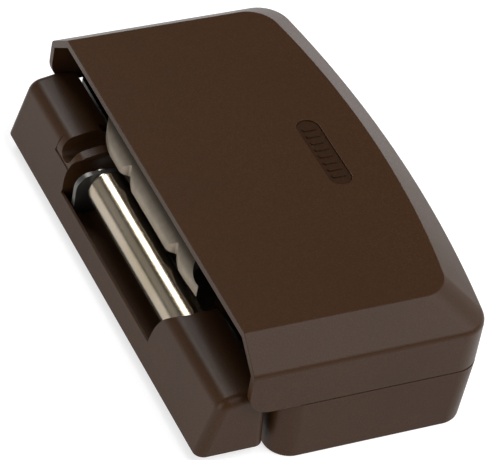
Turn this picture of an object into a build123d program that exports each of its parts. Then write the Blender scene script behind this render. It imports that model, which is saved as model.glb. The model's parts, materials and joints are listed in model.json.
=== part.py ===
from build123d import *
import os

os.makedirs("parts", exist_ok=True)

# Hinge-side window lock, millimetres, +Z away from the window, origin at the centre of its footprint.
# The lock body stands on the sash. The keeper stands on the frame and turns about its steel bar.

# ---- driving dimensions ----
lock_length = 120.0
lock_height = 34.0
rim_x = -27.0                 # straight left rim of the cover
bar_x = rim_x                 # the bar lies right under the rim
bar_z = 14.0
bar_radius = 5.0
half_length = lock_length / 2
reach = 2 * lock_length       # long enough to cut through everything

# cover
cover_wall = 1.8
cover_right = 32.2            # right side at the two ends, before the bow
side_bow = 5.6
chamfer_run = 8.0
chamfer_drop = 6.4
corner_radius = 7.5
cheek_radius = 6.0
seam_z = 15.8                 # height of the cover's lower edge
seam_gap = 0.3
badge_length, badge_width = 23.4, 5.8
badge_x, badge_y = 16.5, -0.6
badge_depth = 0.6

# base housing
base_left = rim_x + 8.6
base_right = cover_right - 0.1
base_bow = side_bow - 0.8
base_half_length = half_length - 0.1
base_wall = 2.0
base_taper = 1.8              # right wall leans in toward the foot
base_flare = 0.8              # end walls lean out toward the foot
base_left_radii = (6.0, 2.6)  # near and far
base_right_radius = corner_radius - 1.0
sill_z = 5.6

# chassis and jaws
plate_bottom = base_wall + 0.2
plate_thickness = 3.0
plate_top = plate_bottom + plate_thickness
plate_half_length = 55.8
mount_x = (-4.0, 22.0)
mount_y = 48.0
mount_radius = 2.75
pivot_x, pivot_z = rim_x + 22.0, 24.0
pivot_radius = 3.0
barrel_radius = 4.5
cheek_thickness = 2.5
claw_near, claw_far = -26.0, 35.6
barrel_near, barrel_far = -26.0, 34.0
washer_thickness = 1.5
near_cheek_y = barrel_near - washer_thickness - 0.2 - cheek_thickness
far_cheek_y = barrel_far + washer_thickness + 0.2
running = 0.05
claw_edge_x = rim_x + 1.1
claw_bottom, claw_top = 20.9, 25.2
tail_bottom, tail_top = 21.0, 24.2
spring_x = 12.0
spring_y = (-10.0, 18.0)
spring_radius = 4.0
spring_bottom, spring_top = 6.2, 20.0
stop_x, stop_radius = 13.0, 2.2
stop_z = tail_top + 0.2 + stop_radius

# keeper
spacer_height = 3.2
keeper_near, keeper_far = -58.1, 58.1
frame_thickness = 1.8
frame_top = spacer_height + frame_thickness
floor_top = frame_top + 0.8
lip_top = 8.4
lip_inner_x = bar_x - 7.6
window_near, window_far = -25.0, 28.0
claw_clearance = 6.6          # radius about the bar that stays clear of the claw
tab_thickness = 1.4
tab_radius = 3.4
far_tab_y = 22.6
near_tab_y = -34.0
bar_near, bar_far = -31.2, 21.2
axle_radius = 2.0
keeper_mount_y = 41.0
keeper_mount_x = bar_x - 1.0


def across(y):
    """Section plane through y that faces the near end: sketch X is X, sketch Y is Z."""
    return Plane.XZ.offset(-y)


def plan_face(height, left, right, half, bow, left_radii, right_radius):
    """Plan outline at a height: straight left side, bowed right side, left corners near and far."""
    with BuildSketch(Plane.XY.offset(height)) as outline:
        with BuildLine():
            Line((left, half), (left, -half))
            Line((left, -half), (right, -half))
            ThreePointArc((right, -half), (right + bow, 0), (right, half))
            Line((right, half), (left, half))
        make_face()
        fillet(outline.vertices().group_by(Axis.X)[-1], right_radius)
        for end, left_radius in zip((0, -1), left_radii):
            left_corners = outline.vertices().group_by(Axis.X)[0].sort_by(Axis.Y)
            fillet(left_corners[end], left_radius)
    return outline.sketch


# ---- cover ----
with BuildPart() as cover:
    chamfer_z = lock_height - chamfer_drop
    extrude(
        plan_face(seam_z, rim_x, cover_right, half_length, side_bow, (), corner_radius),
        amount=chamfer_z - seam_z,
    )
    loft(
        [
            plan_face(chamfer_z, rim_x, cover_right, half_length, side_bow, (),
                      corner_radius),
            plan_face(lock_height, rim_x, cover_right - chamfer_run, half_length - chamfer_run,
                      side_bow, (), corner_radius),
        ],
        ruled=True,
    )
    for ridge_z, ridge_radius in ((chamfer_z, 2.0), (lock_height, 0.8)):
        ridge = cover.edges().filter_by(
            lambda e: abs(e.center().Z - ridge_z) < 0.1 and e.center().X > rim_x + 1
        )
        fillet(ridge, ridge_radius)
    # the hollow is open on the left and below
    inner_z = chamfer_z - 0.45 * cover_wall
    inner_inset = 0.35 * cover_wall
    inner_radius = corner_radius - cover_wall
    extrude(
        plan_face(0, rim_x - 5, cover_right - cover_wall, half_length - cover_wall, side_bow,
                  (), inner_radius),
        amount=inner_z,
        mode=Mode.SUBTRACT,
    )
    loft(
        [
            plan_face(inner_z, rim_x - 5, cover_right - cover_wall, half_length - cover_wall,
                      side_bow, (), inner_radius),
            plan_face(lock_height - cover_wall, rim_x - 5,
                      cover_right - chamfer_run - inner_inset,
                      half_length - chamfer_run - inner_inset, side_bow, (), inner_radius),
        ],
        ruled=True,
        mode=Mode.SUBTRACT,
    )
    cheek_corners = cover.edges().filter_by(Axis.Y).filter_by(
        lambda e: e.center().X < rim_x + 0.1 and e.center().Z < seam_z + 0.5
    )
    fillet(cheek_corners, cheek_radius)
    with BuildSketch(Plane.XY.offset(lock_height)):
        with Locations((badge_x, badge_y)):
            SlotOverall(badge_length, badge_width, rotation=90)
    extrude(amount=-badge_depth, mode=Mode.SUBTRACT)
cover.part.label = "cover"
export_step(cover.part, "parts/cover.step")

# ---- cover badge: an oblong inlay with plain cross ribs ----
with BuildPart() as cover_badge:
    with BuildSketch(Plane.XY.offset(lock_height - badge_depth)):
        with Locations((badge_x, badge_y)):
            SlotOverall(badge_length - 0.2, badge_width - 0.2, rotation=90)
    extrude(amount=0.25)
    with BuildSketch(Plane.XY.offset(lock_height - badge_depth)):
        with Locations((badge_x, badge_y)):
            with GridLocations(0, 2.4, 1, 8):
                SlotOverall(badge_width - 2.2, 0.9)
    extrude(amount=badge_depth - 0.05)
cover_badge.part.label = "cover_badge"
export_step(cover_badge.part, "parts/cover_badge.step")

# ---- base housing ----
with BuildPart() as base_housing:
    top_z = seam_z - seam_gap
    foot_right = base_right - base_taper
    inner_radii = [radius - base_wall for radius in base_left_radii]
    loft(
        [
            plan_face(0, base_left, foot_right, base_half_length + base_flare, base_bow,
                      base_left_radii, base_right_radius),
            plan_face(top_z, base_left, base_right, base_half_length, base_bow,
                      base_left_radii, base_right_radius),
        ],
        ruled=True,
    )
    fillet(base_housing.faces().sort_by(Axis.Z)[0].edges(), 0.4)
    loft(
        [
            plan_face(base_wall, base_left + base_wall, foot_right - base_wall,
                      base_half_length - base_wall, base_bow, inner_radii,
                      base_right_radius - base_wall),
            plan_face(top_z, base_left + base_wall, base_right - base_wall,
                      base_half_length - base_wall, base_bow, inner_radii,
                      base_right_radius - base_wall),
        ],
        ruled=True,
        mode=Mode.SUBTRACT,
    )
    # the left wall is open where the jaws reach out, above a low sill
    with BuildSketch(Plane.YZ.offset(base_left - 2)):
        with Locations((0, sill_z + 10)):
            Rectangle(46, 20)
    extrude(amount=base_wall + 3, mode=Mode.SUBTRACT)
    with Locations(Plane.XY.offset(base_wall)):
        with Locations(*[(x, s * mount_y) for x in mount_x for s in (-1, 1)]):
            Hole(mount_radius)
base_housing.part.label = "base_housing"
export_step(base_housing.part, "parts/base_housing.step")

# ---- chassis: steel plate with two upright cheeks ----
chassis_screw_places = [(x, s * y) for x, y in ((-12.0, 42.0), (26.0, 30.0)) for s in (-1, 1)]
jaw_screw_places = [(-8.0, y) for y in (-16.0, 0.0, 16.0)]
with BuildPart() as chassis:
    with BuildSketch(Plane.XY.offset(plate_bottom)):
        with Locations((6.4, 0)):
            RectangleRounded(42.0, 2 * plate_half_length, 4.0)
    extrude(amount=plate_thickness)
    for cheek_y in (near_cheek_y, far_cheek_y):
        with BuildSketch(across(cheek_y + cheek_thickness)) as cheek:
            with BuildLine():
                Polyline(
                    (-12.0, plate_top - 0.5),
                    (18.0, plate_top - 0.5),
                    (18.0, 30.0),
                    (-11.0, 30.0),
                    close=True,
                )
            make_face()
            fillet(cheek.vertices().group_by(Axis.Y)[-1], 4.0)
            with Locations((pivot_x, pivot_z)):
                Circle(pivot_radius + running, mode=Mode.SUBTRACT)
            with Locations((stop_x, stop_z)):
                Circle(stop_radius, mode=Mode.SUBTRACT)
        extrude(amount=cheek_thickness)
    with Locations(Plane.XY.offset(plate_top)):
        with Locations(*[(x, s * mount_y) for x in mount_x for s in (-1, 1)]):
            Hole(mount_radius)
        with Locations(*chassis_screw_places):
            Hole(2.05)
        with Locations(*jaw_screw_places):
            Hole(2.55)
        with Locations(*[(spring_x, y) for y in spring_y]):
            Hole(1.55)
chassis.part.label = "chassis"
export_step(chassis.part, "parts/chassis.step")

# ---- lower jaw: fixed fingers under the bar ----
with BuildPart() as lower_jaw:
    jaw_bottom = plate_top + 1.1
    with BuildSketch(across(22.0)) as jaw_section:
        with BuildLine():
            Polyline(
                (bar_x - 0.8, jaw_bottom),
                (bar_x - 0.8, jaw_bottom + 3.5),
                (bar_x + 6.0, 11.0),
                (bar_x + 13.0, 11.0),
                (bar_x + 14.5, 9.5),
                (bar_x + 24.0, 9.5),
                (bar_x + 24.0, plate_top),
                (bar_x + 13.0, plate_top),
                (bar_x + 13.0, jaw_bottom),
                close=True,
            )
        make_face()
        with Locations((bar_x, bar_z)):
            Circle(bar_radius + 0.6, mode=Mode.SUBTRACT)
    extrude(amount=44.0)
    with BuildSketch(Plane.XY.offset(20.0)):
        for slot_y in (-8.0, 8.0):
            with Locations((bar_x + 2.0, slot_y)):
                SlotOverall(14.0, 4.0)
    extrude(amount=-20.0, mode=Mode.SUBTRACT)
    with Locations(Plane.XY.offset(9.5)):
        with Locations(*jaw_screw_places):
            CounterSinkHole(2.55, 5.0)
lower_jaw.part.label = "lower_jaw"
export_step(lower_jaw.part, "parts/lower_jaw.step")


def countersunk_screw(x, y, top, length, radius, head_radius):
    """One countersunk screw, its flat head at height top, with a hexagon socket."""
    head_height = head_radius - radius
    with BuildPart() as screw:
        with BuildSketch(Plane.XZ):
            with BuildLine():
                Polyline(
                    (0, 0),
                    (head_radius, 0),
                    (radius, -head_height),
                    (radius, -length),
                    (0, -length),
                    close=True,
                )
            make_face()
        revolve(axis=Axis.Z)
        with BuildSketch(Plane.XY):
            RegularPolygon(radius * 0.6, 6)
        extrude(amount=-0.8 * head_height, mode=Mode.SUBTRACT)
    return screw.part.moved(Location((x, y, top)))


def pan_screw(x, y, seat, length, radius, head_radius, head_height):
    """One pan head screw standing on height seat, with a cross recess."""
    with BuildPart() as screw:
        with BuildSketch():
            Circle(head_radius)
        extrude(amount=head_height)
        fillet(screw.edges().sort_by(Axis.Z)[-1], head_height * 0.5)
        with BuildSketch(Plane.XY.offset(head_height)):
            Rectangle(head_radius * 1.1, 0.8)
            Rectangle(0.8, head_radius * 1.1)
        extrude(amount=-0.5 * head_height, mode=Mode.SUBTRACT)
        with BuildSketch():
            Circle(radius)
        extrude(amount=-length)
    return screw.part.moved(Location((x, y, seat)))


# ---- jaw screws, chassis screws ----
with BuildPart() as jaw_screws:
    for x, y in jaw_screw_places:
        add(countersunk_screw(x, y, 9.45, 6.6, 2.5, 4.9))
jaw_screws.part.label = "jaw_screws"
export_step(jaw_screws.part, "parts/jaw_screws.step")

with BuildPart() as chassis_screws:
    for x, y in chassis_screw_places:
        add(pan_screw(x, y, plate_top, plate_thickness, 2.0, 3.2, 2.2))
chassis_screws.part.label = "chassis_screws"
export_step(chassis_screws.part, "parts/chassis_screws.step")

# ---- claw: three hooked fingers, a barrel round the pin, and a tail over the springs ----
with BuildPart() as claw:
    with BuildSketch(across(claw_far)) as claw_section:
        with BuildLine():
            lower_edge = Line((claw_edge_x, claw_bottom + 0.2), (claw_edge_x + 4.0, claw_bottom))
            Polyline(lower_edge @ 1, (pivot_x - 2.0, claw_bottom), (pivot_x - 2.0, claw_top),
                     (claw_edge_x + 7.0, claw_top))
            Spline((claw_edge_x + 7.0, claw_top), (claw_edge_x + 1.1, claw_top - 1.2),
                   (claw_edge_x, claw_bottom + 0.6), tangents=((-1, 0), (0, -1)))
            Line((claw_edge_x, claw_bottom + 0.6), lower_edge @ 0)
        make_face()
    extrude(amount=claw_far - claw_near)
    with BuildSketch(across(barrel_far)):
        with Locations((pivot_x, pivot_z)):
            Circle(barrel_radius)
    extrude(amount=barrel_far - barrel_near)
    # tail
    with BuildSketch(across(spring_y[1] + 8)):
        with Locations(((pivot_x + spring_x + 5) / 2, (tail_top + tail_bottom) / 2)):
            Rectangle(spring_x + 5 - pivot_x, tail_top - tail_bottom)
    extrude(amount=spring_y[1] - spring_y[0] + 16)
    with BuildSketch(across(barrel_far)):
        with Locations((pivot_x, pivot_z)):
            Circle(pivot_radius + running)
    extrude(amount=barrel_far - barrel_near, mode=Mode.SUBTRACT)
    # the far end stops short of the cheek
    with BuildSketch(Plane.XY.offset(claw_top + 1)):
        with Locations((pivot_x, barrel_far + 5.0)):
            Rectangle(16.0, 10.0)
    extrude(amount=-6.0, mode=Mode.SUBTRACT)
    # plan shape of the fingers: two notches, a curved far end and a fang at the near end
    with BuildSketch(Plane.XY.offset(claw_top + 1)) as finger_cuts:
        for step_y in (16.4, -11.3):
            with BuildLine():
                corner = ThreePointArc((claw_edge_x, step_y + 3.4), (claw_edge_x + 0.35, step_y + 1.1),
                                       (claw_edge_x + 1.5, step_y))
                run_out = ThreePointArc((claw_edge_x + 1.8, step_y - 0.4),
                                        (claw_edge_x + 0.8, step_y - 2.7),
                                        (claw_edge_x, step_y - 5.5))
                Line(corner @ 1, run_out @ 0)
                Polyline(run_out @ 1, (claw_edge_x - 2.0, step_y - 5.5),
                         (claw_edge_x - 2.0, step_y + 3.4), corner @ 0)
            make_face()
        with BuildLine():
            far_curve = ThreePointArc((claw_edge_x, 19.8), (claw_edge_x + 1.0, 28.8),
                                      (claw_edge_x + 4.9, claw_far + 0.5))
            Polyline(far_curve @ 1, (claw_edge_x - 2.0, claw_far + 0.5),
                     (claw_edge_x - 2.0, 19.8), far_curve @ 0)
        make_face()
        with BuildLine():
            near_curve = ThreePointArc((claw_edge_x + 0.9, claw_near + 0.6),
                                       (claw_edge_x + 1.2, claw_near + 4.4),
                                       (claw_edge_x + 4.4, claw_near + 8.5))
            Polyline(near_curve @ 1, (pivot_x - barrel_radius - 1.0, claw_near + 12.0),
                     (pivot_x - barrel_radius - 1.0, claw_near - 0.5),
                     (claw_edge_x + 0.3, claw_near - 0.5), near_curve @ 0)
        make_face()
        with BuildLine():
            Polyline((claw_edge_x, claw_near + 6.5), (claw_edge_x + 0.5, claw_near - 0.5),
                     (claw_edge_x - 2.0, claw_near - 0.5), close=True)
        make_face()
    extrude(amount=-6.0, mode=Mode.SUBTRACT)
claw.part.label = "claw"
export_step(claw.part, "parts/claw.step")

# ---- claw pivot pin with head, washers and retaining clip ----
pin_near = near_cheek_y - 2.5
pin_far = far_cheek_y + cheek_thickness
with BuildPart() as claw_pin:
    with BuildSketch(across(pin_far)):
        with Locations((pivot_x, pivot_z)):
            Circle(pivot_radius)
    extrude(amount=pin_far - pin_near)
    with BuildSketch(across(pin_far + 1.6)):
        with Locations((pivot_x, pivot_z)):
            Circle(pivot_radius + 1.6)
    extrude(amount=1.6)
    fillet(claw_pin.edges().sort_by(Axis.Y)[-1], 0.6)
claw_pin.part.label = "claw_pin"
export_step(claw_pin.part, "parts/claw_pin.step")

with BuildPart() as claw_pin_clip:
    with BuildSketch(across(near_cheek_y - 0.1)):
        with Locations((pivot_x, pivot_z)):
            Circle(pivot_radius + 2.0)
            Circle(pivot_radius, mode=Mode.SUBTRACT)
        with Locations((pivot_x, pivot_z - 4.0)):
            Rectangle(3.6, 6.0, mode=Mode.SUBTRACT)
    extrude(amount=0.9)
claw_pin_clip.part.label = "claw_pin_clip"
export_step(claw_pin_clip.part, "parts/claw_pin_clip.step")

with BuildPart() as claw_washers:
    for washer_far in (barrel_near - 0.1, barrel_far + 0.1 + washer_thickness):
        with BuildSketch(across(washer_far)):
            with Locations((pivot_x, pivot_z)):
                Circle(barrel_radius + 0.3)
                Circle(pivot_radius + running, mode=Mode.SUBTRACT)
        extrude(amount=washer_thickness)
claw_washers.part.label = "claw_washers"
export_step(claw_washers.part, "parts/claw_washers.step")

# ---- springs, their guides on the chassis and cups under the claw's tail ----
with BuildPart() as claw_springs:
    for y in spring_y:
        with BuildSketch(Plane.XY.offset(spring_bottom)):
            with Locations((spring_x, y)):
                Circle(spring_radius)
                Circle(spring_radius - 1.0, mode=Mode.SUBTRACT)
        extrude(amount=spring_top - spring_bottom)
claw_springs.part.label = "claw_springs"
export_step(claw_springs.part, "parts/claw_springs.step")

with BuildPart() as spring_guides:
    for y in spring_y:
        with BuildSketch(Plane.XY.offset(plate_top)):
            with Locations((spring_x, y)):
                Circle(spring_radius + 0.5)
        extrude(amount=spring_bottom - plate_top)
        with BuildSketch(Plane.XY.offset(spring_bottom)):
            with Locations((spring_x, y)):
                Circle(2.4)
        extrude(amount=6.5, taper=4)
        with BuildSketch(Plane.XY.offset(plate_top)):
            with Locations((spring_x, y)):
                Circle(1.5)
        extrude(amount=-plate_thickness)
spring_guides.part.label = "spring_guides"
export_step(spring_guides.part, "parts/spring_guides.step")

with BuildPart() as spring_cups:
    for y in spring_y:
        with BuildSketch(Plane.XY.offset(spring_top)):
            with Locations((spring_x, y)):
                Circle(spring_radius + 0.5)
        extrude(amount=tail_bottom - spring_top)
        with BuildSketch(Plane.XY.offset(spring_top)):
            with Locations((spring_x, y)):
                Circle(2.4)
        extrude(amount=-2.5, taper=6)
spring_cups.part.label = "spring_cups"
export_step(spring_cups.part, "parts/spring_cups.step")

# ---- stop bar that the tail rests against, riveted at both ends ----
with BuildPart() as claw_stop:
    stop_far = far_cheek_y + cheek_thickness
    with BuildSketch(across(stop_far)):
        with Locations((stop_x, stop_z)):
            Circle(stop_radius)
    extrude(amount=stop_far - near_cheek_y)
    for rivet_far in (near_cheek_y, stop_far + 1.0):
        with BuildSketch(across(rivet_far)):
            with Locations((stop_x, stop_z)):
                Circle(stop_radius + 0.9)
        extrude(amount=1.0)
claw_stop.part.label = "claw_stop"
export_step(claw_stop.part, "parts/claw_stop.step")


def leaf_clip(side, foot_inner, riser_y, foot_z, top_z, middle_x, width, bulge):
    """One leaf clip: foot with a hole, riser, and a rounded bulge that bears on a casing wall."""
    leaf = 0.8
    with BuildPart() as clip:
        with BuildSketch(Plane.YZ.offset(middle_x - width / 2)) as strip:
            with BuildLine():
                Polyline(
                    (side * foot_inner, foot_z),
                    (side * (riser_y + leaf), foot_z),
                    (side * (riser_y + leaf), top_z),
                    (side * riser_y, top_z),
                    (side * riser_y, foot_z + leaf),
                    (side * foot_inner, foot_z + leaf),
                    close=True,
                )
            make_face()
            with Locations((side * (riser_y + leaf), top_z - 3.0)):
                Circle(bulge)
        extrude(amount=width)
        with Locations(Plane.XY.offset(foot_z + leaf)):
            with Locations((middle_x, side * (foot_inner + 3.0))):
                Hole(1.3, depth=leaf + 0.1)
    return clip.part


# ---- cover clips and their screws ----
clip_x = 7.0
clip_foot_y = 49.0
with BuildPart() as cover_clips:
    for side in (-1, 1):
        add(leaf_clip(side, clip_foot_y, 56.2, plate_top, 24.0, clip_x, 12.0, 0.95))
cover_clips.part.label = "cover_clips"
export_step(cover_clips.part, "parts/cover_clips.step")

with BuildPart() as clip_screws:
    for side in (-1, 1):
        add(pan_screw(clip_x, side * (clip_foot_y + 3.0), plate_top + 0.8, 0.8, 1.25, 2.3, 1.5))
clip_screws.part.label = "clip_screws"
export_step(clip_screws.part, "parts/clip_screws.step")


def keeper_outline(inset):
    """Corner points of the keeper's section, each wall moved in by inset."""
    return [
        (bar_x - 9.6 + 1.3 * inset, spacer_height),
        (bar_x - 5.7 + 0.9 * inset, 18.7 - inset),
        (bar_x + 1.0, 20.0 - inset),
        (bar_x + 5.8 - 0.9 * inset, 19.4 - inset),
        (bar_x + 7.2 - 1.2 * inset, spacer_height),
    ]


def keeper_face(y, inset, shoulder_radius):
    """Section of the keeper's casing at y, with rounded shoulders."""
    with BuildSketch(across(y)) as section:
        with BuildLine():
            Polyline(*keeper_outline(inset), close=True)
        make_face()
        shoulders = section.vertices().sort_by(Axis.Y)[2:]
        left, right = shoulders.sort_by(Axis.X)[0], shoulders.sort_by(Axis.X)[-1]
        fillet(left, shoulder_radius)
        fillet(right, shoulder_radius - 0.6)
    return section.sketch


# ---- keeper housing ----
with BuildPart() as keeper_housing:
    extrude(keeper_face(keeper_far, 0, 4.0), amount=keeper_far - keeper_near)
    ends = keeper_housing.faces().filter_by(Axis.Y)
    end_edges = ends.edges().filter_by(lambda e: e.center().Z > spacer_height + 0.5)
    fillet(end_edges, 2.4)
    # hollows under the two ends
    for hollow_far, hollow_near in ((56.1, 39.0), (bar_near - 0.8, -56.1)):
        extrude(keeper_face(hollow_far, 2.0, 2.4), amount=hollow_far - hollow_near,
                mode=Mode.SUBTRACT)
    # window: flared at its near end, hollowed at its far end; the lip stays on the left
    for cut_left, cut_right, cut_floor in (
        (lip_inner_x, bar_x + 14.0, floor_top),
        (bar_x - 14.0, lip_inner_x, lip_top),
    ):
        with BuildSketch(Plane.YZ.offset(cut_left)):
            with BuildLine():
                near_flare = TangentArc((window_near, 10.5), (window_near - 4.8, 19.5),
                                        tangent=(0, 1))
                far_hollow = ThreePointArc((window_far, 9.5), (window_far + 1.1, 13.2),
                                           (window_far - 1.2, 18.6))
                Polyline(near_flare @ 0, (window_near, cut_floor), (window_far, cut_floor),
                         far_hollow @ 0)
                Polyline(near_flare @ 1, (window_near - 4.8, 24.0), (window_far - 1.2, 24.0),
                         far_hollow @ 1)
            make_face()
        extrude(amount=cut_right - cut_left, mode=Mode.SUBTRACT)
    # round groove beyond the window, which leaves a rib, and clearance under the claw's far end
    with BuildSketch(Plane.YZ.offset(bar_x - 14.0)):
        with Locations((window_far + 4.0, 17.3)):
            Circle(2.7)
        with Locations((window_far + 4.0, 20.3)):
            Rectangle(5.4, 6.0)
    extrude(amount=28.0, mode=Mode.SUBTRACT)
    with BuildSketch(across(claw_far + 1.3)):
        with Locations((bar_x, bar_z + 10.0)):
            Rectangle(30.0, 20.0)
        with Locations((bar_x, bar_z)):
            Circle(claw_clearance, mode=Mode.SUBTRACT)
    extrude(amount=claw_far + 1.3 - window_far + 2.0, mode=Mode.SUBTRACT)
    # seat for the steel frame, and the gap in the floor beside the bar
    with BuildSketch(Plane.XY.offset(spacer_height)):
        with Locations((bar_x - 1.5, 0)):
            Rectangle(12.8, 108.2)
    extrude(amount=frame_thickness, mode=Mode.SUBTRACT)
    with BuildSketch(Plane.XY.offset(spacer_height)):
        with Locations((bar_x + 4.3, (window_near + window_far) / 2)):
            Rectangle(11.0, window_far - window_near)
        with Locations((bar_x - 1.7, far_tab_y + tab_thickness / 2)):
            Rectangle(11.8, tab_thickness + 0.4)
    extrude(amount=floor_top - spacer_height + 1, mode=Mode.SUBTRACT)
    # bores for the bar's near end and the near tab
    with BuildSketch(across(window_near + 1)):
        with Locations((bar_x, bar_z)):
            Circle(bar_radius + 0.3)
    extrude(amount=window_near + 1 - (bar_near - 0.9), mode=Mode.SUBTRACT)
    with BuildSketch(across(bar_near - 0.8)):
        with Locations((bar_x, bar_z)):
            Circle(tab_radius + 0.4)
        with Locations((bar_x, bar_z / 2)):
            Rectangle(2 * tab_radius + 0.8, bar_z)
    extrude(amount=tab_thickness + 1.4, mode=Mode.SUBTRACT)
keeper_housing.part.label = "keeper_housing"
export_step(keeper_housing.part, "parts/keeper_housing.step")

# ---- keeper frame: steel floor with two upright tabs that carry the axle ----
with BuildPart() as keeper_frame:
    with BuildSketch(Plane.XY.offset(spacer_height)):
        with Locations((bar_x - 1.5, 0)):
            RectangleRounded(12.4, 107.8, 2.0)
    extrude(amount=frame_thickness)
    with BuildSketch(across(far_tab_y + tab_thickness)) as far_tab:
        with BuildLine():
            Polyline(
                (bar_x - 7.2, frame_top - 0.5),
                (bar_x - 7.2, 17.4),
                (bar_x + 3.8, 17.0),
                (bar_x + 3.8, frame_top - 0.5),
                close=True,
            )
        make_face()
        top_left, top_right = far_tab.vertices().sort_by(Axis.Y)[2:].sort_by(Axis.X)
        fillet(top_left, 4.0)
        fillet(top_right, 2.6)
    extrude(amount=tab_thickness)
    with BuildSketch(across(near_tab_y + tab_thickness)):
        with Locations((bar_x, (bar_z + frame_top) / 2 - 0.25)):
            Rectangle(2 * tab_radius, bar_z - frame_top + 0.5)
        with Locations((bar_x, bar_z)):
            Circle(tab_radius)
    extrude(amount=tab_thickness)
    with BuildSketch(across(40)):
        with Locations((bar_x, bar_z)):
            Circle(axle_radius + running)
    extrude(amount=80, mode=Mode.SUBTRACT)
    with Locations(Plane.XY.offset(frame_top)):
        with Locations(*[(keeper_mount_x, s * keeper_mount_y) for s in (-1, 1)]):
            Hole(mount_radius)
keeper_frame.part.label = "keeper_frame"
export_step(keeper_frame.part, "parts/keeper_frame.step")

# ---- bar, its axle, clip and collars ----
with BuildPart() as keeper_bar:
    with BuildSketch(across(bar_far)):
        with Locations((bar_x, bar_z)):
            Circle(bar_radius)
            Circle(axle_radius + running, mode=Mode.SUBTRACT)
    extrude(amount=bar_far - bar_near)
    rims = keeper_bar.edges().filter_by(GeomType.CIRCLE).filter_by(lambda e: e.radius > 4)
    chamfer(rims, 0.6)
keeper_bar.part.label = "keeper_bar"
export_step(keeper_bar.part, "parts/keeper_bar.step")

axle_near = near_tab_y - 2.2
axle_far = far_tab_y + tab_thickness
with BuildPart() as bar_axle:
    with BuildSketch(across(axle_far)):
        with Locations((bar_x, bar_z)):
            Circle(axle_radius)
    extrude(amount=axle_far - axle_near)
    with BuildSketch(across(axle_far + 1.2)):
        with Locations((bar_x, bar_z)):
            Circle(axle_radius + 0.9)
    extrude(amount=1.2)
    fillet(bar_axle.edges().sort_by(Axis.Y)[-1], 0.5)
bar_axle.part.label = "bar_axle"
export_step(bar_axle.part, "parts/bar_axle.step")

with BuildPart() as axle_clip:
    with BuildSketch(across(near_tab_y - 0.1)):
        with Locations((bar_x, bar_z)):
            Circle(axle_radius + 1.2)
            Circle(axle_radius, mode=Mode.SUBTRACT)
        with Locations((bar_x, bar_z - 2.6)):
            Rectangle(2.4, 4.0, mode=Mode.SUBTRACT)
    extrude(amount=0.7)
axle_clip.part.label = "axle_clip"
export_step(axle_clip.part, "parts/axle_clip.step")

with BuildPart() as bar_collars:
    for collar_far, collar_near, collar_radius in (
        (far_tab_y - 0.1, bar_far + 0.1, 3.4),
        (bar_near - 0.1, bar_near - 0.6, 4.2),
    ):
        with BuildSketch(across(collar_far)):
            with Locations((bar_x, bar_z)):
                Circle(collar_radius)
                Circle(axle_radius + running, mode=Mode.SUBTRACT)
        extrude(amount=collar_far - collar_near)
bar_collars.part.label = "bar_collars"
export_step(bar_collars.part, "parts/bar_collars.step")

# ---- keeper spacer ----
with BuildPart() as keeper_spacer:
    with BuildSketch():
        with Locations((bar_x - 1.5, 0)):
            RectangleRounded(13.0, 109.0, 3.0)
        with Locations(*[(keeper_mount_x, s * keeper_mount_y) for s in (-1, 1)]):
            Circle(mount_radius, mode=Mode.SUBTRACT)
    extrude(amount=spacer_height)
keeper_spacer.part.label = "keeper_spacer"
export_step(keeper_spacer.part, "parts/keeper_spacer.step")

# ---- leaf clips that hold the keeper housing, and their rivets ----
keeper_foot_y = 46.0
with BuildPart() as keeper_clips:
    for side in (-1, 1):
        add(leaf_clip(side, keeper_foot_y, 54.6, frame_top, 14.0, bar_x - 1.0, 6.0, 0.6))
keeper_clips.part.label = "keeper_clips"
export_step(keeper_clips.part, "parts/keeper_clips.step")

with BuildPart() as clip_rivets:
    for side in (-1, 1):
        add(pan_screw(bar_x - 1.0, side * (keeper_foot_y + 3.0), frame_top + 0.8, 0.8, 1.25, 2.0,
                      1.1))
clip_rivets.part.label = "clip_rivets"
export_step(clip_rivets.part, "parts/clip_rivets.step")
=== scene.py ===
"""Looks of a hinge-side window lock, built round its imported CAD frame."""

import json
import math

import bpy
from bpy.props import FloatProperty, FloatVectorProperty, IntProperty, PointerProperty
from bpy.types import Operator, Panel, PropertyGroup
from mathutils import Matrix, Vector


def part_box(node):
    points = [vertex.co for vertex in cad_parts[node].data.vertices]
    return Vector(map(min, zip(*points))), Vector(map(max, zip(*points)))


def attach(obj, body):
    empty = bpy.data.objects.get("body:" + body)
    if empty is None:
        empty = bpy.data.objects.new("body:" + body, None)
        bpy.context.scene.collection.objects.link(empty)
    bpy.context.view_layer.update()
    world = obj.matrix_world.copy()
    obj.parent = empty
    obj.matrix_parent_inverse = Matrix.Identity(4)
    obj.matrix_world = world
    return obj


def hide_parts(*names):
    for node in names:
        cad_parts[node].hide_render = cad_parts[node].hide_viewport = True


bl_info = {
    "name": "Hinge-side window lock",
    "version": (1, 0, 0),
    "blender": (4, 5, 0),
    "location": "3D View > Sidebar > Window Lock",
    "description": "Builds the casings, claw, bar and hardware of a hinge-side window lock",
    "category": "Object",
}

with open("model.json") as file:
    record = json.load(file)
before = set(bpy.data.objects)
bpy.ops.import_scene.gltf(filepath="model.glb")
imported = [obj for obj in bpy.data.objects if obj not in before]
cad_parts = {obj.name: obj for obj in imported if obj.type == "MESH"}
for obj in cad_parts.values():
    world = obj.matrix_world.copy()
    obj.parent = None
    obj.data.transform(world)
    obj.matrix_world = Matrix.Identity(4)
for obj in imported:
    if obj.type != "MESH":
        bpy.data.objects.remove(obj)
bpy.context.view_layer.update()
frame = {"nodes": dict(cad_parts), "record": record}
NODES = frame["nodes"]
RECORD = frame["record"]
BODY_OF = {n: body for body, members in RECORD["behaviour"]["bodies"].items() for n in members}
SLOT_OF = {part["node"]: part["material_slot"] for part in RECORD["subparts"]}
MM = 0.001

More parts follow.
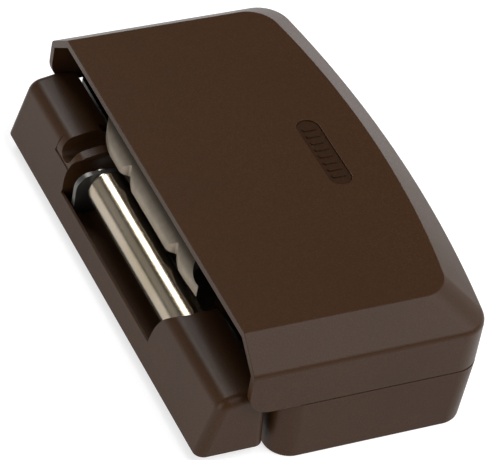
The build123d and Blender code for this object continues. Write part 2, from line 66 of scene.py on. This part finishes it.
# soft lights: name, place, width and height in metres, power in watts; all face the lock
LIGHTS = (
    ("front_light", (0.72, -0.68, 1.20), 1.45, 1.45, 26.5),
    ("side_light", (1.20, 0.25, 0.55), 0.90, 0.90, 3.5),
    ("left_light", (-1.30, -0.35, 0.40), 0.80, 0.80, 8.5),
    ("rear_light", (-0.09, 0.71, 0.82), 0.42, 0.38, 4.6),
    ("low_light", (-0.85, 0.85, 0.45), 0.70, 0.60, 0.55),
)


# ---- settings ----

class LockCasingSettings(PropertyGroup):
    """Colour, grain and edges of the brown casings."""

    brown: FloatVectorProperty(
        name="Brown", description="Colour of the powder coat", subtype="COLOR", size=3,
        min=0, max=1, default=(0.0355, 0.0147, 0.0049))
    brown_light: FloatVectorProperty(
        name="Light brown", description="Lighter flecks in the powder coat", subtype="COLOR",
        size=3, min=0, max=1, default=(0.050, 0.0225, 0.0088))
    roughness: FloatProperty(
        name="Roughness", description="Mean roughness of the coat", default=0.38, min=0, max=1)
    grain: FloatProperty(
        name="Grain", description="Size of the coat's fine grain", default=0.45 * MM,
        unit="LENGTH")
    edge: FloatProperty(
        name="Edge radius", description="Rounding of the casings' sharp edges",
        default=0.35 * MM, unit="LENGTH")


class LockMetalSettings(PropertyGroup):
    """Colours and edges of the metal pieces."""

    bar: FloatVectorProperty(
        name="Bar", description="Colour of the bright bar", subtype="COLOR", size=3,
        min=0, max=1, default=(0.41, 0.350, 0.275))
    claw: FloatVectorProperty(
        name="Claw", description="Colour of the satin claw", subtype="COLOR", size=3,
        min=0, max=1, default=(0.32, 0.270, 0.212))
    zinc: FloatVectorProperty(
        name="Zinc", description="Colour of zinc plated sheet", subtype="COLOR", size=3,
        min=0, max=1, default=(0.50, 0.50, 0.48))
    # painted shade: this jaw colour is kept dark to stand in for the shade where the jaw shows
    # under the claw
    dark: FloatVectorProperty(
        name="Hardened", description="Colour of the hardened jaw", subtype="COLOR", size=3,
        min=0, max=1, default=(0.16, 0.15, 0.14))
    wire: FloatVectorProperty(
        name="Wire", description="Colour of spring steel", subtype="COLOR", size=3,
        min=0, max=1, default=(0.30, 0.30, 0.31))
    edge: FloatProperty(
        name="Edge radius", description="Rounding of the metal pieces' edges",
        default=0.15 * MM, unit="LENGTH")
    coil_turns: IntProperty(
        name="Coil turns", description="Turns of each claw spring", default=7, min=3, max=12)
    wire_radius: FloatProperty(
        name="Wire radius", description="Half the thickness of the spring wire",
        default=0.5 * MM, unit="LENGTH")


class LockStageSettings(PropertyGroup):
    """Floor, lights and camera."""

    floor: FloatVectorProperty(
        name="Floor", description="Colour of the floor", subtype="COLOR", size=3,
        min=0, max=1, default=(0.50, 0.50, 0.50))
    glow: FloatProperty(
        name="Glow", description="Light that the floor gives off, which keeps it white",
        default=0.68, min=0)
    world: FloatVectorProperty(
        name="Surroundings", description="Colour of the soft surroundings", subtype="COLOR",
        size=3, min=0, max=1, default=(0.06, 0.06, 0.06))
    azimuth: FloatProperty(
        name="Azimuth", description="Side that the camera looks from",
        default=math.radians(-31.311), unit="ROTATION")
    elevation: FloatProperty(
        name="Elevation", description="Height of the camera over the floor",
        default=math.radians(41.124), unit="ROTATION")
    roll: FloatProperty(
        name="Roll", description="Tilt of the camera about its own line of sight",
        default=math.radians(10.96), unit="ROTATION")
    distance: FloatProperty(
        name="Distance", description="From the camera to the lock", default=0.88134,
        unit="LENGTH")
    lens: FloatProperty(
        name="Lens", description="Focal length in millimetres", default=275.5)
    aim: FloatVectorProperty(
        name="Aim", description="Point that the camera looks at", subtype="TRANSLATION",
        unit="LENGTH", size=3, default=(-0.0006, -0.00085, 0.01354))


# ---- shader building ----

class Value:
    """A shader socket that adds Math nodes when it is used in an expression."""

    def __init__(self, finish, socket):
        self.finish = finish
        self.socket = socket

    def _math(self, operation, first, second):
        made = self.finish.node("ShaderNodeMath", {"operation": operation}, {0: first, 1: second})
        return Value(self.finish, made.outputs[0])

    def __add__(self, other):
        return self._math("ADD", self, other)

    def __radd__(self, other):
        return self._math("ADD", other, self)

    def __sub__(self, other):
        return self._math("SUBTRACT", self, other)

    def __rsub__(self, other):
        return self._math("SUBTRACT", other, self)

    def __mul__(self, other):
        return self._math("MULTIPLY", self, other)

    def __rmul__(self, other):
        return self._math("MULTIPLY", other, self)


class Finish:
    """A material and the few ways that its nodes are added."""

    def __init__(self, name, roughness=0.5, metallic=0.0, specular=0.5):
        self.material = bpy.data.materials.new(name)
        self.material.use_nodes = True
        self.tree = self.material.node_tree
        self.tree.nodes.clear()
        self.shader = self.node("ShaderNodeBsdfPrincipled", {}, {
            "Roughness": roughness, "Metallic": metallic, "Specular IOR Level": specular})
        output = self.node("ShaderNodeOutputMaterial", {}, {})
        self.tree.links.new(self.shader.outputs[0], output.inputs["Surface"])
        self.place = self.node("ShaderNodeTexCoord", {}, {}).outputs["Object"]

    def node(self, kind, settings, inputs):
        """Add one node: its settings first, then the values or links of its sockets."""
        made = self.tree.nodes.new(kind)
        for key, value in settings.items():
            setattr(made, key, value)
        for key, value in inputs.items():
            socket = made.inputs[key]
            if isinstance(value, Value):
                self.tree.links.new(value.socket, socket)
            elif isinstance(value, bpy.types.NodeSocket):
                self.tree.links.new(value, socket)
            else:
                socket.default_value = value
        return made

    def stretched(self, scale):
        """Object coordinates stretched along the axes."""
        return self.node("ShaderNodeMapping", {}, {
            "Vector": self.place, "Scale": scale}).outputs[0]

    def noise(self, size, detail=2.0, roughness=0.5, scale=(1, 1, 1)):
        """Noise whose lumps are about size metres across."""
        made = self.node("ShaderNodeTexNoise", {"noise_dimensions": "3D"}, {
            "Vector": self.stretched(scale), "Scale": 1.0 / size, "Detail": detail,
            "Roughness": roughness})
        return Value(self, made.outputs["Fac"])

    def cells(self, size):
        """Rounded cells about size metres across, 0 at their centres."""
        made = self.node("ShaderNodeTexVoronoi", {"feature": "SMOOTH_F1"}, {
            "Vector": self.place, "Scale": 1.0 / size, "Smoothness": 0.4})
        return Value(self, made.outputs["Distance"])

    def banded(self, value, low, high):
        """Map low..high on to 0..1, held at both ends."""
        made = self.node("ShaderNodeMapRange", {"clamp": True}, {
            "Value": value, "From Min": low, "From Max": high})
        return Value(self, made.outputs[0])

    def mixed(self, factor, first, second):
        """Blend two colours."""
        made = self.node("ShaderNodeMix", {"data_type": "RGBA"}, {0: factor})
        made.inputs[6].default_value = (*first, 1)
        made.inputs[7].default_value = (*second, 1)
        return made.outputs[2]

    def layered(self, factor, under, over):
        """Blend a colour over one that comes from another node."""
        made = self.node("ShaderNodeMix", {"data_type": "RGBA"}, {0: factor, 6: under})
        made.inputs[7].default_value = (*over, 1)
        return made.outputs[2]

    def dented(self, heights):
        """Chain bumps, each a height value with its depth in metres."""
        normal = None
        for height, depth in heights:
            inputs = {"Height": height, "Distance": depth, "Strength": 1.0}
            if normal is not None:
                inputs["Normal"] = normal
            normal = self.node("ShaderNodeBump", {}, inputs).outputs[0]
        self.feed("Normal", normal)

    def feed(self, name, value):
        """Link a value or colour to the shader."""
        socket = value.socket if isinstance(value, Value) else value
        self.tree.links.new(socket, self.shader.inputs[name])


def shade(colour, factor):
    """A colour made lighter or darker."""
    return tuple(min(1.0, c * factor) for c in colour)


def powder_coat(settings):
    """Satin brown powder coat: fine grain, soft orange peel and faint rubbed patches."""
    finish = Finish("casing_brown_powder_coat", specular=0.17)
    grain = finish.noise(settings.grain, detail=3.0, roughness=0.6)
    fleck = finish.noise(settings.grain * 0.55, detail=1.0)
    peel = finish.noise(1.6 * MM, detail=1.0)
    patch = finish.noise(22 * MM, detail=3.0)
    colour = finish.mixed(finish.banded(fleck, 0.42, 0.68), settings.brown, settings.brown_light)
    colour = finish.layered(finish.banded(patch, 0.35, 0.75) * 0.22, colour,
                            shade(settings.brown, 0.72))
    finish.feed("Base Color", colour)
    finish.feed("Roughness", settings.roughness - 0.06 + grain * 0.10 + patch * 0.05)
    finish.dented([(peel, 0.010 * MM), (grain, 0.022 * MM)])
    return finish.material


def badge_coat(settings):
    """The same coat, a little darker and smoother, on the badge."""
    finish = Finish("badge_brown_coat", specular=0.17)
    grain = finish.noise(settings.grain, detail=2.0)
    colour = finish.mixed(finish.banded(grain, 0.35, 0.7), shade(settings.brown, 0.62),
                          shade(settings.brown, 0.88))
    finish.feed("Base Color", colour)
    finish.feed("Roughness", 0.30 + grain * 0.12)
    finish.dented([(grain, 0.010 * MM)])
    return finish.material


def bright_bar(settings):
    """Bright plated bar: drawn along its length, with a fine blasted grain."""
    finish = Finish("bar_bright_plating", metallic=1.0)
    drawn = finish.noise(0.35 * MM, detail=3.0, scale=(1, 0.05, 1))
    grit = finish.noise(0.32 * MM, detail=2.0, roughness=0.7)
    stain = finish.noise(9 * MM, detail=3.0, scale=(1, 0.4, 1))
    colour = finish.mixed(finish.banded(stain, 0.35, 0.7), settings.bar,
                          (settings.bar[0] * 0.80, settings.bar[1] * 0.78, settings.bar[2] * 0.66))
    colour = finish.layered(finish.banded(grit, 0.55, 0.8) * 0.35, colour,
                            shade(settings.bar, 0.55))
    finish.feed("Base Color", colour)
    finish.feed("Roughness", 0.13 + grit * 0.12 + drawn * 0.05)
    finish.dented([(drawn, 0.008 * MM), (grit, 0.020 * MM)])
    return finish.material


def tumbled_steel(settings):
    """Satin tumbled steel of the claw: soft mottle and tiny nicks."""
    finish = Finish("claw_tumbled_steel", metallic=0.75)
    mottle = finish.noise(2.4 * MM, detail=4.0, roughness=0.6)
    grit = finish.noise(0.20 * MM, detail=2.0)
    nick = finish.cells(1.3 * MM)
    colour = finish.mixed(finish.banded(mottle, 0.3, 0.75), settings.claw,
                          shade(settings.claw, 0.82))
    finish.feed("Base Color", colour)
    finish.feed("Roughness", 0.42 + mottle * 0.12 + grit * 0.06)
    finish.dented([(mottle, 0.02 * MM), (nick, 0.008 * MM), (grit, 0.006 * MM)])
    return finish.material


def painted_shade_frame_zinc(settings):
    """Zinc plated sheet of the frame, darkened overall to a painted shade for its shaded tabs:
    rolled grain along Y and a faint spangle.
    """
    finish = Finish("frame_zinc_painted_shade", metallic=0.95)
    rolled = finish.noise(0.5 * MM, detail=3.0, scale=(1, 0.06, 1))
    spangle = finish.cells(4 * MM)
    haze = finish.noise(12 * MM, detail=3.0)
    # painted shade: the frame's tones are the zinc colour cut to about a fifth, standing in for
    # the shade on its tabs
    colour = finish.mixed(finish.banded(haze, 0.3, 0.75), shade(settings.zinc, 0.22),
                          (settings.zinc[0] * 0.18, settings.zinc[1] * 0.165,
                           settings.zinc[2] * 0.145))
    colour = finish.layered(finish.banded(spangle, 0.2, 0.9) * 0.25, colour,
                            shade(settings.zinc, 0.40))
    finish.feed("Base Color", colour)
    finish.feed("Roughness", 0.30 + rolled * 0.16 + haze * 0.06)
    finish.dented([(rolled, 0.008 * MM)])
    return finish.material


def painted_shade_chassis_plate(settings):
    """Thick plated chassis, darkened overall to a painted shade for the dark inside of the lock:
    coarser rolled grain with darker cut patches.
    """
    finish = Finish("chassis_plate_painted_shade", metallic=0.95)
    rolled = finish.noise(0.7 * MM, detail=3.0, scale=(1, 0.08, 1))
    haze = finish.noise(9 * MM, detail=4.0)
    # painted shade: both tones are the zinc colour cut to a third and a fifth, standing in for the
    # shade inside the housing
    finish.feed("Base Color", finish.mixed(
        finish.banded(haze, 0.3, 0.8), shade(settings.zinc, 0.34), shade(settings.zinc, 0.22)))
    finish.feed("Roughness", 0.34 + rolled * 0.14)
    finish.dented([(rolled, 0.010 * MM), (haze, 0.03 * MM)])
    return finish.material


def painted_shade_jaw_steel(settings):
    """Steel of the fixed jaw, darkened to a painted shade where it shows in the shaded hollow
    under the claw, with temper scale.
    """
    finish = Finish("jaw_steel_painted_shade", metallic=0.9)
    scale = finish.noise(1.8 * MM, detail=5.0, roughness=0.65)
    grit = finish.noise(0.3 * MM, detail=2.0)
    # painted shade: the jaw's dark colour stands in for the shade under the claw; the lighter
    # flecks are temper scale
    finish.feed("Base Color", finish.mixed(
        finish.banded(scale, 0.35, 0.7), settings.dark, shade(settings.dark, 1.8)))
    finish.feed("Roughness", 0.40 + scale * 0.2)
    finish.dented([(scale, 0.03 * MM), (grit, 0.01 * MM)])
    return finish.material


def plated_fastener(settings):
    """Bright zinc of the screws, pins and washers."""
    finish = Finish("fastener_bright_zinc", metallic=1.0)
    turned = finish.noise(0.25 * MM, detail=3.0)
    haze = finish.noise(3 * MM, detail=3.0)
    finish.feed("Base Color", finish.mixed(
        finish.banded(haze, 0.3, 0.75), shade(settings.zinc, 1.25),
        (settings.zinc[0] * 1.05, settings.zinc[1] * 1.0, settings.zinc[2] * 0.82)))
    finish.feed("Roughness", 0.24 + turned * 0.16)
    finish.dented([(turned, 0.006 * MM)])
    return finish.material


def drawn_wire(settings):
    """Grey spring steel with drawing marks."""
    finish = Finish("spring_drawn_wire", metallic=0.95)
    marks = finish.noise(0.3 * MM, detail=4.0)
    haze = finish.noise(5 * MM, detail=2.0)
    finish.feed("Base Color", finish.mixed(
        finish.banded(haze, 0.3, 0.8), settings.wire, shade(settings.wire, 0.6)))
    finish.feed("Roughness", 0.28 + marks * 0.2)
    finish.dented([(marks, 0.006 * MM)])
    return finish.material


def black_moulding(settings):
    """Matt black moulded plastic of the spacer."""
    finish = Finish("spacer_black_moulding")
    grain = finish.noise(settings.grain * 1.4, detail=3.0)
    finish.feed("Base Color", finish.mixed(
        finish.banded(grain, 0.35, 0.7), (0.012, 0.012, 0.012), (0.024, 0.023, 0.022)))
    finish.feed("Roughness", 0.5 + grain * 0.2)
    finish.dented([(grain, 0.03 * MM)])
    return finish.material


MAKERS = {
    "casing_brown": (powder_coat, "lock_casing"),
    "badge_brown": (badge_coat, "lock_casing"),
    "spacer_black": (black_moulding, "lock_casing"),
    "bar_steel": (bright_bar, "lock_metal"),
    "claw_steel": (tumbled_steel, "lock_metal"),
    "frame_steel": (painted_shade_frame_zinc, "lock_metal"),
    "chassis_steel": (painted_shade_chassis_plate, "lock_metal"),
    "jaw_steel": (painted_shade_jaw_steel, "lock_metal"),
    "fastener_steel": (plated_fastener, "lock_metal"),
    "spring_steel": (drawn_wire, "lock_metal"),
}
_made = {}


def finish_for(slot):
    """The material of a slot, made once."""
    if slot not in _made:
        maker, group = MAKERS[slot]
        _made[slot] = maker(getattr(bpy.context.scene, group))
    return _made[slot]


# ---- shaping ----

def pick(piece):
    """Make a piece the only selected and the active object."""
    bpy.ops.object.select_all(action="DESELECT")
    piece.select_set(True)
    bpy.context.view_layer.objects.active = piece


def apply_all(piece):
    """Apply a piece's modifiers in order."""
    pick(piece)
    for modifier in list(piece.modifiers):
        bpy.ops.object.modifier_apply(modifier=modifier.name)


def round_edges(piece, radius, segments=3, angle=30.0):
    """Round every edge sharper than angle degrees, and smooth what is gentler."""
    bevel = piece.modifiers.new("edges", "BEVEL")
    bevel.width = radius
    bevel.segments = segments
    bevel.limit_method = "ANGLE"
    bevel.angle_limit = math.radians(angle)
    bevel.use_clamp_overlap = True
    weigh = piece.modifiers.new("flat_faces", "WEIGHTED_NORMAL")
    weigh.keep_sharp = True
    weigh.weight = 100
    pick(piece)
    bpy.ops.object.shade_smooth_by_angle(angle=math.radians(angle))
    apply_all(piece)


def hand_over(piece, node):
    """Let a piece stand for a CAD node: its body, its slot and its finish."""
    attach(piece, BODY_OF[node])
    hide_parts(node)
    piece.data.materials.clear()
    piece.data.materials.append(finish_for(SLOT_OF[node]))
    return piece


def refined(node, radius, segments=3, angle=30.0):
    """A merged copy of a CAD node with clean faces and rounded edges, in the node's place."""
    piece = bpy.data.objects.new(node + "_finished", NODES[node].data.copy())
    bpy.context.scene.collection.objects.link(piece)
    pick(piece)
    bpy.ops.object.mode_set(mode="EDIT")
    bpy.ops.mesh.select_all(action="SELECT")
    bpy.ops.mesh.remove_doubles(threshold=0.001 * MM)
    bpy.ops.mesh.dissolve_limited(angle_limit=math.radians(0.6))
    bpy.ops.object.mode_set(mode="OBJECT")
    round_edges(piece, radius, segments, angle)
    return hand_over(piece, node)


# ---- operators ----

class LOCK_OT_casings(Operator):
    """Build the cover, base housing and keeper housing"""
    bl_idname = "lock.casings"
    bl_label = "Casings"

    def execute(self, context):
        edge = context.scene.lock_casing.edge
        for node in ("cover", "base_housing", "keeper_housing"):
            refined(node, edge)
        refined("keeper_spacer", edge)
        return {"FINISHED"}


class LOCK_OT_badge(Operator):
    """Build the small oblong badge with its cross ribs"""
    bl_idname = "lock.badge"
    bl_label = "Badge"

    def execute(self, context):
        refined("cover_badge", 0.08 * MM, segments=2)
        return {"FINISHED"}


class LOCK_OT_bar(Operator):
    """Build the bright bar"""
    bl_idname = "lock.bar"
    bl_label = "Bar"

    def execute(self, context):
        refined("keeper_bar", 0.12 * MM)
        return {"FINISHED"}


class LOCK_OT_claw(Operator):
    """Build the claw and the fixed jaw"""
    bl_idname = "lock.claw"
    bl_label = "Claw and jaw"

    def execute(self, context):
        edge = context.scene.lock_metal.edge
        refined("claw", 1.6 * edge)
        refined("lower_jaw", 1.6 * edge)
        return {"FINISHED"}


class LOCK_OT_springs(Operator):
    """Build the two coil springs under the claw's tail"""
    bl_idname = "lock.springs"
    bl_label = "Springs"

    def execute(self, context):
        settings = context.scene.lock_metal
        wire = settings.wire_radius
        low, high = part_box("claw_springs")
        outer = (high.x - low.x) / 2
        centre_x = (low.x + high.x) / 2
        coil = outer - wire
        height = high.z - low.z - 2 * wire
        coils = []
        for centre_y in (low.y + outer, high.y - outer):
            bpy.ops.object.select_all(action="DESELECT")
            bpy.ops.mesh.primitive_circle_add(
                vertices=12, radius=wire, location=(coil, 0, 0),
                rotation=(math.radians(90), 0, 0))
            spring = context.active_object
            bpy.ops.object.transform_apply()
            turn = spring.modifiers.new("coil", "SCREW")
            turn.axis = "Z"
            turn.iterations = settings.coil_turns
            turn.screw_offset = height / settings.coil_turns
            turn.steps = turn.render_steps = 28
            turn.use_merge_vertices = False
            apply_all(spring)
            bpy.ops.object.mode_set(mode="EDIT")
            bpy.ops.mesh.select_all(action="DESELECT")
            bpy.ops.mesh.select_non_manifold()
            bpy.ops.mesh.edge_face_add()
            bpy.ops.mesh.select_all(action="SELECT")
            bpy.ops.mesh.normals_make_consistent(inside=False)
            bpy.ops.object.mode_set(mode="OBJECT")
            spring.location = (centre_x, centre_y, low.z + wire)
            bpy.ops.object.transform_apply()
            coils.append(spring)
        pick(coils[0])
        coils[1].select_set(True)
        bpy.ops.object.join()
        springs = context.active_object
        springs.name = "claw_springs_finished"
        bpy.ops.object.shade_smooth_by_angle(angle=math.radians(60))
        hand_over(springs, "claw_springs")
        return {"FINISHED"}


class LOCK_OT_hardware(Operator):
    """Build the frame, chassis, pins, screws, washers and clips"""
    bl_idname = "lock.hardware"
    bl_label = "Hardware"

    def execute(self, context):
        edge = context.scene.lock_metal.edge
        for node in ("chassis", "keeper_frame"):
            refined(node, 1.4 * edge)
        for node in sorted(NODES):
            if SLOT_OF[node] in ("fastener_steel", "spring_steel") and node != "claw_springs":
                refined(node, 0.7 * edge, segments=2)
        return {"FINISHED"}


class LOCK_OT_stage(Operator):
    """Lay the floor, hang the lights and set the camera"""
    bl_idname = "lock.stage"
    bl_label = "Stage"

    def execute(self, context):
        settings = context.scene.lock_stage
        self.lay_floor(settings)
        self.set_lights(context, settings)
        self.set_camera(context, settings)
        context.scene.view_settings.view_transform = "Standard"
        return {"FINISHED"}

    def lay_floor(self, settings):
        bpy.ops.object.select_all(action="DESELECT")
        bpy.ops.mesh.primitive_plane_add(size=6.0, location=(0, 0, -0.05 * MM))
        floor = bpy.context.active_object
        floor.name = "stage_floor"
        finish = Finish("stage_floor_paper", roughness=0.9)
        speck = finish.noise(3 * MM, detail=2.0)
        finish.feed("Base Color", finish.mixed(
            finish.banded(speck, 0.3, 0.7), settings.floor, shade(settings.floor, 0.99)))
        finish.shader.inputs["Emission Color"].default_value = (1, 1, 1, 1)
        finish.shader.inputs["Emission Strength"].default_value = settings.glow
        floor.data.materials.append(finish.material)

    def set_lights(self, context, settings):
        world = bpy.data.worlds.new("soft_surroundings")
        world.use_nodes = True
        background = world.node_tree.nodes["Background"]
        background.inputs["Color"].default_value = (*settings.world, 1)
        background.inputs["Strength"].default_value = 1.0
        context.scene.world = world
        for name, place, width, height, power in LIGHTS:
            lamp = bpy.data.lights.new(name, "AREA")
            lamp.shape = "RECTANGLE"
            lamp.size = width
            lamp.size_y = height
            lamp.energy = power
            light = bpy.data.objects.new(name, lamp)
            light.location = place
            light.rotation_euler = (-Vector(place)).to_track_quat("-Z", "Y").to_euler()
            context.scene.collection.objects.link(light)

    def set_camera(self, context, settings):
        a, e, roll = settings.azimuth, settings.elevation, settings.roll
        back = Vector((math.sin(a) * math.cos(e), -math.cos(a) * math.cos(e), math.sin(e)))
        right = Vector((math.cos(a), math.sin(a), 0))
        up = back.cross(right)
        across = right * math.cos(roll) + up * math.sin(roll)
        over = up * math.cos(roll) - right * math.sin(roll)
        lens = bpy.data.cameras.new("camera")
        lens.lens = settings.lens
        lens.sensor_width = 36.0
        camera = bpy.data.objects.new("camera", lens)
        context.scene.collection.objects.link(camera)
        turned = Matrix((across, over, back)).transposed().to_4x4()
        camera.matrix_world = Matrix.Translation(
            Vector(settings.aim) + back * settings.distance) @ turned
        context.scene.camera = camera


class LOCK_PT_panel(Panel):
    """Sidebar panel with the settings and the building steps"""
    bl_idname = "LOCK_PT_panel"
    bl_label = "Window Lock"
    bl_space_type = "VIEW_3D"
    bl_region_type = "UI"
    bl_category = "Window Lock"

    def draw(self, context):
        for group in ("lock_casing", "lock_metal", "lock_stage"):
            settings = getattr(context.scene, group)
            box = self.layout.box()
            for key in settings.bl_rna.properties.keys():
                if key not in ("rna_type", "name"):
                    box.prop(settings, key)
        for step in STEPS:
            self.layout.operator(step.bl_idname)


STEPS = (LOCK_OT_stage, LOCK_OT_casings, LOCK_OT_badge, LOCK_OT_bar, LOCK_OT_claw,
         LOCK_OT_springs, LOCK_OT_hardware)
GROUPS = {"lock_casing": LockCasingSettings, "lock_metal": LockMetalSettings,
          "lock_stage": LockStageSettings}


def register():
    for cls in (*GROUPS.values(), *STEPS, LOCK_PT_panel):
        bpy.utils.register_class(cls)
    for name, group in GROUPS.items():
        setattr(bpy.types.Scene, name, PointerProperty(type=group))


def unregister():
    for name in GROUPS:
        delattr(bpy.types.Scene, name)
    for cls in reversed((*GROUPS.values(), *STEPS, LOCK_PT_panel)):
        bpy.utils.unregister_class(cls)


def main():
    register()
    bpy.ops.lock.stage()
    bpy.ops.lock.casings()
    bpy.ops.lock.badge()
    bpy.ops.lock.bar()
    bpy.ops.lock.claw()
    bpy.ops.lock.springs()
    bpy.ops.lock.hardware()


if __name__ == "__main__":
    main()
